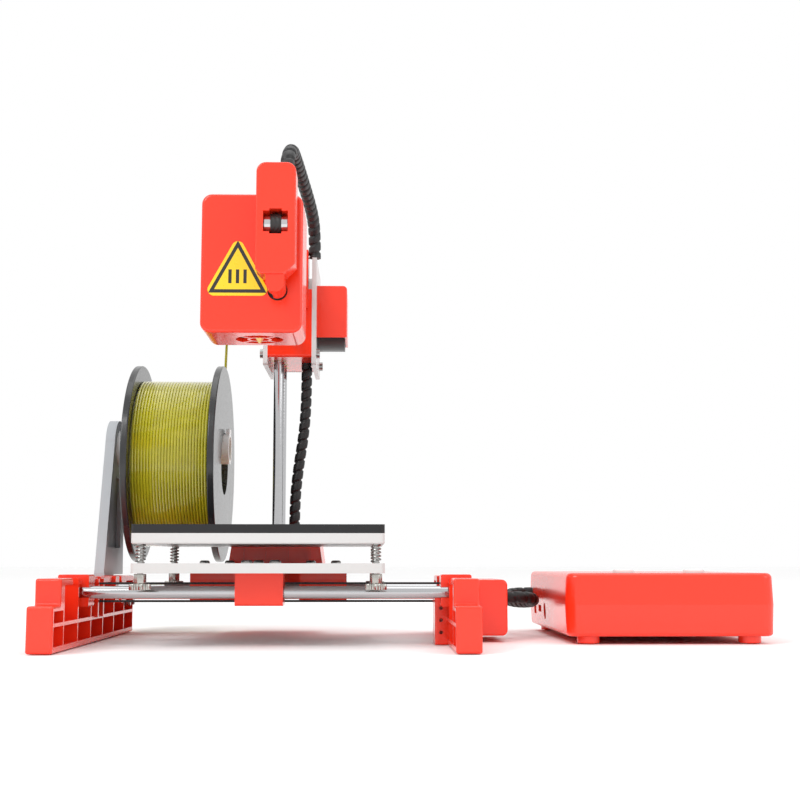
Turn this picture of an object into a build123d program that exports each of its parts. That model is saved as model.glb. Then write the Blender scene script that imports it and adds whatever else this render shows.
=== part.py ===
from build123d import *
import math
import os

# A small filament printer: two ribbed legs carry a bed that slides from side to side, a column lifts a
# cantilever arm, the head runs along the arm, and a separate control box stands to the right.
# Drawing frame: X along the bed's travel, Y from the front of the legs to the back, Z up from the table.
# Every size is in millimetres. The parts are written shifted, so that the origin is on the table,
# under the middle of the whole object.

# ---------------------------------------------------------------- fits
SHAFT_GAP = 0.05          # radial running clearance of a shaft in its bore
SLIP = 0.3                # gap between pieces that move past each other
SCREW_GAP = 0.2           # radial gap of a screw in a plain hole

# ---------------------------------------------------------------- legs
LEG_SPAN = 204.0          # outer face to outer face
LEG_WIDTH = 12.0
LEG_HEIGHT = 33.3
PLATE = 122.0             # side of the bed's square plates
BED_Y = 102.0             # middle of the bed
REAR = BED_Y + PLATE / 2 + 5.0    # front of everything behind the bed
LEG_LENGTH = REAR + 37.0
LEG_STEP_Y = 15.0         # the front step, low in front and full height behind
LEG_STEP_HEIGHT = 21.2
LEG_WALL = 2.4
LEG_FLOOR = 2.9
LEG_RIM = 3.0
LEG_ROUND = 1.2
RIB = 1.6
FIRST_RIB_Y = 22.2
RIB_COUNT = 6
RIB_PITCH = (LEG_LENGTH - FIRST_RIB_Y) / RIB_COUNT
MID_RIB_Z = 12.6
LEG_OUT = LEG_SPAN / 2
LEG_IN = LEG_OUT - LEG_WIDTH

# ---------------------------------------------------------------- bed slide
BED_ROD_R = 3.0
BED_ROD_Z = LEG_HEIGHT - 7.2
FRONT_ROD_Y = BED_Y - PLATE / 2 + 19.0
REAR_ROD_Y = BED_Y + PLATE / 2 - 18.0
BOSS_TOP = LEG_HEIGHT + 1.5
BOSS_REACH = 3.6          # how far the front rod boss stands inside the leg
PAD_T = 4.3
UPPER_T = 5.1
LOWER_T = 4.8
LOWER_Z = LEG_HEIGHT + 2.2
SPRING_H = 9.3
SPRING_R = 2.6
SPRING_WIRE = 0.8
SPRING_INSET = 4.2        # spring axis in from the plate's edge
BED_SCREW_R = 1.5
NUT_FLANGE_R = 5.25
NUT_FLANGE_T = 2.9
NUT_HUB_R = 3.0
NUT_DROP = 8.0            # underside of the lower plate to the underside of the nut
UPPER_Z = LOWER_Z + LOWER_T + SPRING_H
PAD_Z = UPPER_Z + UPPER_T
BED_X = -2.5              # the bed stands this far off the middle of its travel
NUT_PITCH = PLATE - 2 * SPRING_INSET
BEARING_R = 5.0
HOLDER_BOTTOM = BED_ROD_Z - BEARING_R - 1.5

# ---------------------------------------------------------------- belts
BELT_W = 5.0
BELT_T = 1.05
PULLEY_R = 4.0
BELT_GAP = 0.1            # belt's inner face off the pulley
BED_BELT_Z = BED_ROD_Z - 0.8
BED_IDLER_X = -LEG_OUT + 9.0
MOTOR_R = 12.0            # geared stepper can of the bed
MOTOR_L = 18.0
MOTOR_OFFSET = 8.0        # output shaft above the can's axis
MOTOR_SHAFT_R = 2.5
HOUSING_W = 21.0
HOUSING_Y = (BED_Y - 8.0, BED_Y + 48.0)
HOUSING_Z = (3.0, LEG_HEIGHT - 1.4)
HOUSING_WALL = 1.2
BED_MOTOR_X = LEG_OUT + 6.5
PIN_R = 1.5

# ---------------------------------------------------------------- column
COLUMN_X = -2.8
COLUMN_Y = (REAR + 12.0, REAR + 40.0)
COLUMN_ROD_R = 3.0
COLUMN_TOP = 235.0
SCREW_Y = REAR + 26.0
LEAD_R = 2.5
BASE_Y = (REAR, REAR + 57.0)
BASE_Z = (20.0, 56.0)
BASE_FOOT_X = 30.0        # half width at the bottom
BASE_HEAD_X = 24.5        # half width at the top
BASE_DECK = 10.0
BEAM_Y = (REAR, REAR + 10.0)
BEAM_Z = (20.0, 29.0)
LIFT_MOTOR = 28.0
LIFT_MOTOR_H = 25.0

# ---------------------------------------------------------------- arm
BLOCK_X = (-8.5, 17.1)
BLOCK_Y = (REAR - 5.0, REAR + 56.0)
BLOCK_Z = (159.5, 199.6)
UPPER_BLOCK_Y = (REAR - 10.0, REAR + 4.0)
UPPER_BLOCK_TOP = 222.0
SHEET = 2.6
FLANGE_BOTTOM = 155.0
FLANGE_TOP = 219.0
BUSH_R = 4.8
ARM_ROD_R = 3.0
ARM_X = 6.7               # rods and belt of the arm
UPPER_ROD_Z = 210.5
LOWER_ROD_Z = 170.0
ARM_BELT_Z = 199.0
ARM_PULLEY_Y = REAR + 22.0
LOWER_ROD_END = REAR + 17.0
ARM_IDLER_Y = 11.0
ARM_MOTOR_R = 17.5
ARM_MOTOR_L = 16.0
ARM_MOTOR_OFFSET = 14.5
END_X = (-2.5, 16.2)
END_Y = (4.0, 18.0)
END_Z = (174.0, 227.5)
SLEEVE_R = 4.4
SLEEVE_END = 21.5
IDLER_SIDE_R = 4.4

# ---------------------------------------------------------------- head
HEAD_X = (-30.3, 18.6)
HEAD_Y = (24.0, 62.0)
HEAD_Z = (149.7, 217.6)
HEAD_WALL = 2.0
HEAD_ROUND = 5.0
NOZZLE_X = -3.3
NOZZLE_Y = 45.0
NOZZLE_TIP = 148.0
MOUTH_R = 11.7
STICKER_X = (-27.2, 2.2)
STICKER_Z = (167.4, 193.9)
STICKER_T = 0.3
FAN_Y = 52.0
FAN_Z = 168.0
FAN_R = 6.2
FILAMENT_R = 0.875

# ---------------------------------------------------------------- spool
ARM_SIDE_X = (-LEG_OUT - 6.0, -LEG_OUT - 0.4)
SPOOL_Y = REAR + 48.0
SPOOL_Z = 101.0
SPOOL_R = 60.0
SPOOL_W = 53.5
SPOOL_X = (ARM_SIDE_X[1] + 10.9, ARM_SIDE_X[1] + 10.9 + SPOOL_W)
SPOOL_FLANGE = 4.0
SPOOL_BORE = 19.0
SPOOL_HUB = 24.0
WIND_R = 50.6
AXLE_R = 9.5
AXLE_WALL = 2.0
ARM_FOOT_Y = (LEG_LENGTH - 29.0, LEG_LENGTH + 31.0)
ARM_TAB_Y = (LEG_LENGTH - 29.0, LEG_LENGTH - 1.0)
ARM_TAB_Z = 9.0
ARM_BOLT_Z = 17.5
ARM_CROWN_R = 17.0

# ---------------------------------------------------------------- control box
BOX_GAP = 27.6            # from the motor housing to the box
BOX_W = 106.7
BOX_LEFT = LEG_OUT + HOUSING_W + BOX_GAP
BOX_X = (BOX_LEFT, BOX_LEFT + BOX_W)
BOX_Y = (72.0, 232.0)
BOX_Z = (3.6, 35.4)
BOX_SPLIT = 19.5
BOX_WALL = 2.0
BOX_CORNER = 7.0
BOX_DRAFT = 2.5           # degrees
FOOT_R = 5.75
FOOT_INSET = 9.0
BOARD_Z = 8.0
BOARD_T = 1.6
JACK_Y = 160.0
JACK_Z = 13.4
JACK_R = 4.6
CARD_Y = 181.0
USB_Y = 203.0
KEY_R = 5.5
KEY_Y = 96.0
KEY_X = {"home_key": BOX_LEFT + 33.4, "print_key": BOX_LEFT + 70.4}

# ---------------------------------------------------------------- looms and filament
LOOM_D = 6.5
HEAD_LOOM_D = 7.2
# The routes are chosen by hand. Each is a list of X, Y, Z in the drawing frame.
LOOM_BOX = [(123.0, 130.0, 22.0), (134.0, 130.0, 22.0), (142.0, 139.0, 21.0), (143.5, 153.0, 19.0),
            (139.5, 168.0, 18.0), (134.0, 183.0, 18.2), (131.3, 197.0, 20.0), (136.0, 209.5, 22.2),
            (143.5, 215.5, 22.6), (150.6, 215.5, 22.6)]
LOOM_LOWER = [(6.7, 190.0, 56.0), (6.7, 190.0, 76.0), (8.7, 190.5, 97.0), (12.0, 190.0, 118.0),
              (13.3, 189.0, 139.0), (13.3, 189.0, 159.5)]
LOOM_UPPER = [(8.7, 45.0, 217.6), (8.7, 45.0, 236.5), (10.1, 60.0, 252.5), (11.5, 83.0, 253.0),
              (13.5, 109.0, 250.0), (16.0, 135.0, 245.5), (18.0, 157.0, 239.5), (18.4, 168.0, 229.0),
              (18.4, 168.0, 219.0)]
FILAMENT_LOWER = [(-45.0, 267.9, 102.0), (-44.9, 266.6, 127.0), (-43.2, 256.0, 151.0), (-40.4, 239.0, 179.0),
                  (-36.5, 211.0, 195.0), (-31.3, 176.0, 203.0)]
FILAMENT_UPPER = [(-31.3, 176.0, 203.0), (-26.9, 148.0, 209.4), (-24.1, 119.0, 211.0), (-22.5, 90.0, 208.0),
                  (-21.8, 62.0, 200.0)]


# ---------------------------------------------------------------- small helpers
def span_box(x, y, z):
    """A box from its (low, high) pair along each axis."""
    size = [hi - lo for lo, hi in (x, y, z)]
    middle = [(hi + lo) / 2 for lo, hi in (x, y, z)]
    return Pos(*middle) * Box(*size)


def bar(axis, at, radius, span):
    """A round bar along axis; at holds the two other coordinates in X, Y, Z order."""
    body = Cylinder(radius, span[1] - span[0])
    middle = (span[0] + span[1]) / 2
    if axis == "X":
        return Pos(middle, at[0], at[1]) * Rot(0, 90, 0) * body
    if axis == "Y":
        return Pos(at[0], middle, at[1]) * Rot(90, 0, 0) * body
    return Pos(at[0], at[1], middle) * body


def tube(axis, at, outer, inner, span):
    """A round tube along axis."""
    longer = (span[0] - 1, span[1] + 1)
    return bar(axis, at, outer, span) - bar(axis, at, inner, longer)


def group(pieces):
    """Separate solids in one node."""
    return Compound(children=[s for piece in pieces for s in piece.solids()])


def mirror_x(shape):
    """The same shape on the other side of the middle plane."""
    return mirror(shape, about=Plane.YZ)


def grown(span, by):
    """A (low, high) pair, longer by the same amount at both ends."""
    return (span[0] - by, span[1] + by)


def prism_y(points, y):
    """An outline in X and Z, pulled along Y from y[0] to y[1]."""
    face = make_face(Polyline(*[(px, y[0], pz) for px, pz in points], close=True))
    return extrude(face, amount=y[1] - y[0], dir=(0, 1, 0))


def belt_loop(axis, ends, across):
    """A flat belt round two pulleys that lie along axis; ends holds both pulley centres."""
    inner = PULLEY_R + BELT_GAP
    outer = inner + BELT_T
    (a0, b0), (a1, b1) = ends
    low = min(a0, a1)
    high = max(a0, a1)
    loop = []
    for radius in (outer, inner):
        if axis == "Y":
            middle = span_box((low, high), across, (b0 - radius, b0 + radius))
        else:
            middle = span_box(across, (low, high), (b0 - radius, b0 + radius))
        loop.append(middle + bar(axis, (a0, b0), radius, across) + bar(axis, (a1, b1), radius, across))
    return loop[0] - loop[1]


def cord(name, points, diameter):
    """A loom or strand: straight runs joined by tangent arcs as large as the runs allow."""
    spots = [Vector(*p) for p in points]
    runs = [b - a for a, b in zip(spots, spots[1:])]
    radii = []
    for one, two in zip(runs, runs[1:]):
        half_turn = math.radians(one.get_angle(two)) / 2
        radii.append(0.45 * min(one.length, two.length) / math.tan(half_turn))
    path = FilletPolyline(*points, radius=radii)
    section = Plane(origin=path @ 0, z_dir=path % 0) * Circle(diameter / 2)
    body = sweep(section, path=path)
    expected = math.pi * diameter ** 2 / 4 * path.length
    print(name, "radii", [round(r, 1) for r in radii], "length", round(path.length, 1),
          "volume ratio", round(body.volume / expected, 4))
    return body


# ---------------------------------------------------------------- legs and frame
def leg_cells(x):
    """The open pockets between the ribs, in two rows."""
    walls = [LEG_WALL] + [FIRST_RIB_Y + RIB_PITCH * i for i in range(RIB_COUNT)] + [LEG_LENGTH - LEG_WALL]
    pockets = []
    for number, (front, back) in enumerate(zip(walls, walls[1:])):
        start = front + (RIB / 2 if number else 0)
        stop = back - (RIB / 2 if number < RIB_COUNT else 0)
        ceiling = LEG_STEP_HEIGHT - LEG_WALL if number == 0 else LEG_HEIGHT - LEG_RIM
        pockets.append(span_box(x, (start, stop), (LEG_FLOOR, MID_RIB_Z - RIB / 2)))
        pockets.append(span_box(x, (start, stop), (MID_RIB_Z + RIB / 2, ceiling)))
    return pockets


def bare_leg():
    """The left leg: a stepped block with rounded edges, pockets, rod bosses and channels for the nuts."""
    body = span_box((-LEG_OUT, -LEG_IN), (0, LEG_LENGTH), (0, LEG_STEP_HEIGHT))
    body += span_box((-LEG_OUT, -LEG_IN), (LEG_STEP_Y, LEG_LENGTH), (0, LEG_HEIGHT))
    body = fillet(body.edges(), LEG_ROUND)
    for pocket in leg_cells((-LEG_OUT + LEG_WALL, -LEG_IN + 1)):
        body -= pocket
    rod_low = BED_ROD_Z - BED_ROD_R - 4
    boss_x = (-LEG_OUT + 0.4, -LEG_IN + BOSS_REACH)
    boss = span_box(boss_x, (FRONT_ROD_Y - 1.5, FRONT_ROD_Y + 12), (rod_low, BOSS_TOP))
    body += fillet(boss.edges().filter_by(Axis.Y), 1.0)
    rear_x = (-LEG_OUT + 0.4, -LEG_IN + 1.5)
    body += span_box(rear_x, (REAR_ROD_Y - 5.5, REAR_ROD_Y + 4.9), (rod_low, LEG_HEIGHT))
    pad_y = grown(BEAM_Y, 2)
    body += span_box((-LEG_OUT + 1, -LEG_IN), pad_y, grown(BEAM_Z, 2))
    for rod_y in (FRONT_ROD_Y, REAR_ROD_Y):
        body -= bar("X", (rod_y, BED_ROD_Z), BED_ROD_R, (-LEG_OUT + LEG_WALL, -LEG_IN + 9))
    channel_z = (LOWER_Z - NUT_DROP - 0.7, LEG_HEIGHT + 1)
    for nut_y in (BED_Y - NUT_PITCH / 2, BED_Y + NUT_PITCH / 2):
        channel_y = (nut_y - NUT_FLANGE_R - 0.7, nut_y + NUT_FLANGE_R + 0.7)
        body -= span_box((-LEG_OUT - 1, -LEG_IN + 1), channel_y, channel_z)
    return body


def belt_slot(x):
    """The gap that the bed belt needs in a leg's rim."""
    reach = PULLEY_R + BELT_GAP + BELT_T + 0.8
    return span_box(x, grown((BED_Y, BED_Y), BELT_W / 2 + 2), (BED_BELT_Z - reach, LEG_HEIGHT + 1))


def left_leg():
    """Left leg with two ears for the belt idler and holes for the spool arm's bolts."""
    body = bare_leg() - belt_slot((-LEG_OUT + LEG_WALL, -LEG_IN + 1))
    for side in (-1, 1):
        ear_y = BED_Y + side * (BELT_W / 2 + 4.2)
        body += span_box((-LEG_OUT + 1, -LEG_IN + 1.2), grown((ear_y, ear_y), 1.2), (MID_RIB_Z, LEG_HEIGHT - 1))
    body -= bar("Y", (BED_IDLER_X, BED_BELT_Z), PIN_R, grown((BED_Y, BED_Y), BELT_W / 2 + 8))
    for bolt_y, bolt_z in arm_bolt_places():
        body -= bar("X", (bolt_y, bolt_z), PIN_R, (-LEG_OUT - 1, -LEG_OUT + LEG_WALL + 1))
    return body


def arm_bolt_places():
    """Y and Z of the two bolts that hold the spool arm."""
    return [(LEG_LENGTH - 20.5, ARM_BOLT_Z), (LEG_LENGTH - 7.0, ARM_BOLT_Z)]


def right_leg():
    """Right leg with its wiring block, the belt's way out and a round seat for the bed motor."""
    body = mirror_x(bare_leg())
    block = span_box((LEG_IN - 6, LEG_IN + 3), (FRONT_ROD_Y + 10, BED_Y - BELT_W / 2 - 4.5), (0, BED_ROD_Z))
    block = fillet(block.edges().filter_by(Axis.Z), 1.0)
    body += block
    for hole_z in (6.0, 12.0, 18.0):
        body -= bar("Y", (LEG_IN - 3, hole_z), 0.9, (FRONT_ROD_Y + 9, FRONT_ROD_Y + 18))
    body -= belt_slot((LEG_IN - 1, LEG_OUT + 1))
    can_y = bed_motor_span()
    body -= bar("Y", (BED_MOTOR_X, BED_BELT_Z - MOTOR_OFFSET), MOTOR_R + 0.6, (BED_Y - 6, can_y[1] + 2))
    body -= bar("Y", (BED_MOTOR_X, BED_BELT_Z), PULLEY_R + BELT_T + 1.2, (BED_Y - 6, can_y[0] + 1))
    return body


def bed_motor_span():
    """Front and back of the bed motor's can."""
    front = BED_Y + BELT_W / 2 + 3.5
    return (front, front + MOTOR_L)


def motor_housing():
    """Cover over the bed motor, open towards the leg, with rounded outer edges."""
    x = (LEG_OUT, LEG_OUT + HOUSING_W)
    body = span_box(x, HOUSING_Y, HOUSING_Z)
    body = fillet(body.edges().filter_by(Axis.Y).group_by(Axis.X)[-1], 3.0)
    body = fillet(body.faces().sort_by(Axis.Y)[0].edges().group_by(Axis.X)[-1], 1.0)
    inner_x = (LEG_OUT - 1, LEG_OUT + HOUSING_W - HOUSING_WALL)
    cavity = span_box(inner_x, grown(HOUSING_Y, -HOUSING_WALL), grown(HOUSING_Z, -HOUSING_WALL))
    cavity = fillet(cavity.edges().filter_by(Axis.Y).group_by(Axis.X)[-1], 1.9)
    return body - cavity


def bed_rods():
    """The two rods that the bed slides on."""
    reach = (-LEG_OUT + LEG_WALL, LEG_OUT - LEG_WALL)
    return group([bar("X", (y, BED_ROD_Z), BED_ROD_R, reach) for y in (FRONT_ROD_Y, REAR_ROD_Y)])


def lift_motor_room(z):
    """A square block round the lift motor's axis."""
    half = LIFT_MOTOR / 2
    return span_box(grown((COLUMN_X, COLUMN_X), half), grown((SCREW_Y, SCREW_Y), half), z)


def frame_motors():
    """The bed motor, lying along Y, and the lift motor, standing in the column's base."""
    span = bed_motor_span()
    bed_motor = bar("Y", (BED_MOTOR_X, BED_BELT_Z - MOTOR_OFFSET), MOTOR_R, span)
    bed_motor += span_box(grown((BED_MOTOR_X, BED_MOTOR_X), 6.0), (span[1] - 13, span[1] - 2),
                          (BED_BELT_Z - MOTOR_OFFSET - MOTOR_R - 0.9, BED_BELT_Z - MOTOR_OFFSET))
    top = BASE_Z[1] - BASE_DECK
    lift_motor = lift_motor_room((top - LIFT_MOTOR_H, top))
    lift_motor = chamfer(lift_motor.edges().filter_by(Axis.Z), 2.5)
    return group([bed_motor, lift_motor])


def bed_belt():
    """Bed belt round the motor pulley and the idler."""
    across = grown((BED_Y, BED_Y), BELT_W / 2)
    return belt_loop("Y", [(BED_IDLER_X, BED_BELT_Z), (BED_MOTOR_X, BED_BELT_Z)], across)


def column_base():
    """Flared base with front ribs, on a beam that joins the legs; hollow below for the lift motor."""
    low, high = BASE_Z
    outline = [(-BASE_FOOT_X, low), (BASE_FOOT_X, low), (BASE_HEAD_X, high), (-BASE_HEAD_X, high)]
    body = prism_y([(COLUMN_X + px, pz) for px, pz in outline], BASE_Y)
    body = fillet(body.edges().filter_by(Axis.Y).group_by(Axis.Z)[-1], 2.0)
    body += span_box((-LEG_IN, LEG_IN), BEAM_Y, BEAM_Z)
    for rib_x in (-19.0, -6.5, 6.5, 19.0):
        foot = COLUMN_X + rib_x
        body += span_box(grown((foot, foot), 1.0), (BASE_Y[0] - 1.8, BASE_Y[0] + 1), (low, high - 2.5))
    body -= lift_motor_room((low - 1, high - BASE_DECK))
    for y in COLUMN_Y:
        body -= bar("Z", (COLUMN_X, y), COLUMN_ROD_R, (high - BASE_DECK + 1, high + 1))
    body -= bar("Z", (COLUMN_X, SCREW_Y), LEAD_R + 1.5, (low, high + 1))
    return body


def column_rods():
    """The two rods that the arm climbs."""
    span = (BASE_Z[1] - BASE_DECK + 1, COLUMN_TOP)
    return group([bar("Z", (COLUMN_X, y), COLUMN_ROD_R, span) for y in COLUMN_Y])


def lead_screw():
    """Lift screw, drawn at its outer diameter."""
    return bar("Z", (COLUMN_X, SCREW_Y), LEAD_R, (BASE_Z[1] - BASE_DECK + SLIP, COLUMN_TOP - 2))


# ---------------------------------------------------------------- bed
def bed_corners():
    """The four levelling screws' places."""
    half = NUT_PITCH / 2
    return [(sx * half, BED_Y + sy * half) for sx in (-1, 1) for sy in (-1, 1)]


def plate(bottom, thickness, rounding):
    """A square plate of the bed."""
    half = PLATE / 2
    body = span_box((-half, half), (BED_Y - half, BED_Y + half), (bottom, bottom + thickness))
    return fillet(body.edges().filter_by(Axis.Z), rounding)


def bed_pad():
    """Print pad on the upper plate."""
    return plate(PAD_Z, PAD_T, 2.0)


def upper_plate():
    """Upper plate with countersunk screw seats."""
    body = plate(UPPER_Z, UPPER_T, 2.0)
    for x, y in bed_corners():
        body -= bar("Z", (x, y), BED_SCREW_R, (UPPER_Z - 1, PAD_Z))
        body -= bar("Z", (x, y), BED_SCREW_R + 1.5, (PAD_Z - 1.6, PAD_Z + 1))
    return chamfer(body.edges().group_by(Axis.Z)[0].filter_by(GeomType.LINE), 0.5)


def lower_plate():
    """Lower plate with clear holes for the levelling screws and holes for the domed screws."""
    body = plate(LOWER_Z, LOWER_T, 2.0)
    for x, y in bed_corners():
        body -= bar("Z", (x, y), BED_SCREW_R + SCREW_GAP, (LOWER_Z - 1, UPPER_Z))
    for x, y in dome_screws():
        body -= bar("Z", (x, y), BED_SCREW_R, (LOWER_Z - 1, UPPER_Z))
    return body


def dome_screws():
    """Places of the domed screws that hold the bearing holders and the belt clamp."""
    return [(x, FRONT_ROD_Y) for x in (-7.0, 7.0)] + [(x, REAR_ROD_Y) for x in (-38.0, -24.0, 21.0, 35.0)] + [
        (x, BED_Y) for x in (-4.5, 4.5)]


def levelling_springs():
    """Springs between the plates, each as the tube that the coil fills."""
    span = (LOWER_Z + LOWER_T, UPPER_Z)
    return group([tube("Z", at, SPRING_R, SPRING_R - SPRING_WIRE, span) for at in bed_corners()])


def bed_screws():
    """Levelling screws hanging from the upper plate, and domed screws in the lower one."""
    solids = []
    for at in bed_corners():
        screw = bar("Z", at, BED_SCREW_R, (LOWER_Z - NUT_DROP, PAD_Z - 1.0))
        solids.append(screw + bar("Z", at, BED_SCREW_R + 1.5, (PAD_Z - 1.6, PAD_Z)))
    top = LOWER_Z + LOWER_T
    for at in dome_screws():
        head = bar("Z", at, 2.8, (top, top + 1.6))
        head = fillet(head.edges().group_by(Axis.Z)[-1], 1.2)
        solids.append(head + bar("Z", at, BED_SCREW_R, (LOWER_Z, top)))
    return group(solids)


def levelling_nut(at):
    """Thumb nut with a flange, turning on its levelling screw."""
    low = LOWER_Z - NUT_DROP
    body = bar("Z", at, NUT_FLANGE_R, (low, low + NUT_FLANGE_T))
    body += bar("Z", at, NUT_HUB_R, (low, LOWER_Z - SLIP))
    return body - bar("Z", at, BED_SCREW_R + SHAFT_GAP, (low - 1, LOWER_Z + 1))


def holder(x, rod_y, depth, bottom):
    """A clip under the lower plate that holds a linear bearing."""
    body = span_box(x, grown((rod_y, rod_y), depth / 2), (bottom, LOWER_Z))
    body = fillet(body.edges().filter_by(Axis.X).group_by(Axis.Z)[0], 1.5)
    body -= bar("X", (rod_y, BED_ROD_Z), BEARING_R, grown(x, 1))
    return body


def front_bearing_holder():
    """Single holder on the front rod."""
    return holder((-12.0, 11.5), FRONT_ROD_Y, 15.0, HOLDER_BOTTOM)


def rear_bearing_holder():
    """Two holders on the rear rod."""
    return group([holder((-45.0, -18.0), REAR_ROD_Y, 15.0, HOLDER_BOTTOM + 0.6),
                  holder((15.0, 41.0), REAR_ROD_Y, 15.0, HOLDER_BOTTOM + 0.6)])


def bed_bearings():
    """Linear bearings in the holders."""
    solids = []
    for x, rod_y in (((-11.0, 10.5), FRONT_ROD_Y), ((-43.5, -19.5), REAR_ROD_Y), ((16.5, 39.5), REAR_ROD_Y)):
        solids.append(tube("X", (rod_y, BED_ROD_Z), BEARING_R, BED_ROD_R + SHAFT_GAP, x))
    return group(solids)


def belt_clamp():
    """Block under the lower plate that grips the belt's upper run."""
    belt_top = BED_BELT_Z + PULLEY_R + BELT_GAP + BELT_T
    return span_box((-8.0, 8.0), grown((BED_Y, BED_Y), BELT_W / 2 + 2), (belt_top + SLIP, LOWER_Z))


def bed_pulley():
    """Bed motor's pulley with its shaft."""
    at = (BED_MOTOR_X, BED_BELT_Z)
    body = bar("Y", at, PULLEY_R, grown((BED_Y, BED_Y), BELT_W / 2 + 0.6))
    return body + bar("Y", at, MOTOR_SHAFT_R, (BED_Y - BELT_W / 2 - 2, bed_motor_span()[0] - SLIP))


def bed_idler():
    """Idler roller of the bed belt."""
    span = grown((BED_Y, BED_Y), BELT_W / 2 + 1.5)
    return tube("Y", (BED_IDLER_X, BED_BELT_Z), PULLEY_R, PIN_R + SHAFT_GAP, span)


# ---------------------------------------------------------------- arm
def belt_room():
    """The space of the arm's pulley and belt inside the arm block."""
    x = grown((ARM_X, ARM_X), BELT_W / 2 + 1.3)
    return span_box(x, (UPPER_BLOCK_Y[0] - 1, ARM_PULLEY_Y + 9), grown((ARM_BELT_Z, ARM_BELT_Z), 7.5))


def arm_block():
    """Moulded block that rides on the column and holds the arm's rods."""
    body = span_box(BLOCK_X, BLOCK_Y, BLOCK_Z)
    body = fillet(body.edges().filter_by(Axis.X).group_by(Axis.Z)[0], 1.5)
    body += span_box((BLOCK_X[0], 15.0), UPPER_BLOCK_Y, (BLOCK_Z[1] - 12, UPPER_BLOCK_TOP))
    body -= belt_room()
    for y in COLUMN_Y:
        body -= bar("Z", (COLUMN_X, y), BUSH_R, (BLOCK_Z[0] - 1, BLOCK_Z[1] + 1))
    body -= bar("Z", (COLUMN_X, SCREW_Y), BUSH_R, (BLOCK_Z[0] - 1, BLOCK_Z[0] + 14))
    body -= bar("Z", (COLUMN_X, SCREW_Y), LEAD_R + 1.0, (BLOCK_Z[0] - 1, BLOCK_Z[1] + 1))
    for z, back in ((UPPER_ROD_Z, UPPER_BLOCK_Y[1]), (LOWER_ROD_Z, LOWER_ROD_END)):
        body -= bar("Y", (ARM_X, z), ARM_ROD_R, (UPPER_BLOCK_Y[0] - 1, back))
    body -= bar("X", (ARM_PULLEY_Y, ARM_BELT_Z), MOTOR_SHAFT_R + 0.8, (ARM_X, BLOCK_X[1] + 1))
    for x, y, z in arm_screw_places():
        body -= bar("X", (y, z), PIN_R, screw_reach(x))
    return body


def arm_screw_places():
    """X of the flange, Y and Z of each screw through the bracket into the block."""
    low = BLOCK_Z[0] + 2.6
    front, back = grown(BLOCK_Y, -5.0)
    left = [(BLOCK_X[0], front, low), (BLOCK_X[0], back, low)]
    right = [(BLOCK_X[1], front, low), (BLOCK_X[1], back, low), (BLOCK_X[1], back - 3, BLOCK_Z[1] - 4)]
    return left + right


def screw_reach(x):
    """Span of a bracket screw's shank along X."""
    return (x - SHEET, x + 6.0) if x < ARM_X else (x - 6.0, x + SHEET)


def arm_bracket():
    """White folded bracket: two flanges joined behind the block."""
    left = (BLOCK_X[0] - SHEET, BLOCK_X[0])
    right = (BLOCK_X[1], BLOCK_X[1] + SHEET)
    back = (BLOCK_Y[1], BLOCK_Y[1] + SHEET)
    body = span_box(left, (BLOCK_Y[0], back[1]), (FLANGE_BOTTOM, FLANGE_TOP))
    body += span_box(right, (BLOCK_Y[0], back[1]), (FLANGE_BOTTOM, FLANGE_TOP))
    body += span_box((left[0], right[1]), back, (BLOCK_Z[0], FLANGE_TOP))
    body = fillet(body.edges().filter_by(Axis.X).group_by(Axis.Y)[0], 2.0)
    for x, y, z in arm_screw_places():
        body -= bar("X", (y, z), PIN_R, screw_reach(x))
    body -= bar("X", (ARM_PULLEY_Y, ARM_BELT_Z), MOTOR_SHAFT_R + 0.8, (BLOCK_X[1] - 1, right[1] + 1))
    return body


def arm_screws():
    """Bracket screws, and the pin of the arm's idler."""
    solids = []
    for x, y, z in arm_screw_places():
        reach = screw_reach(x)
        head = (reach[0] - 2.0, reach[0]) if x < ARM_X else (reach[1], reach[1] + 2.0)
        solids.append(bar("X", (y, z), PIN_R, reach) + bar("X", (y, z), 2.7, head))
    solids.append(bar("X", (ARM_IDLER_Y, ARM_BELT_Z), PIN_R, (END_X[0] + 1, END_X[1] - 1)))
    return group(solids)


def arm_bushes():
    """Bronze bushes on the column rods, and the lead nut."""
    solids = [tube("Z", (COLUMN_X, y), BUSH_R, COLUMN_ROD_R + SHAFT_GAP, BLOCK_Z) for y in COLUMN_Y]
    nut_z = (BLOCK_Z[0], BLOCK_Z[0] + 14)
    solids.append(tube("Z", (COLUMN_X, SCREW_Y), BUSH_R, LEAD_R + SHAFT_GAP, nut_z))
    return group(solids)


def arm_rods():
    """The two rods that the head runs on."""
    upper = bar("Y", (ARM_X, UPPER_ROD_Z), ARM_ROD_R, (END_Y[0] + 2, UPPER_BLOCK_Y[1]))
    lower = bar("Y", (ARM_X, LOWER_ROD_Z), ARM_ROD_R, (END_Y[0] + 2, LOWER_ROD_END))
    return group([upper, lower])


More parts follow.
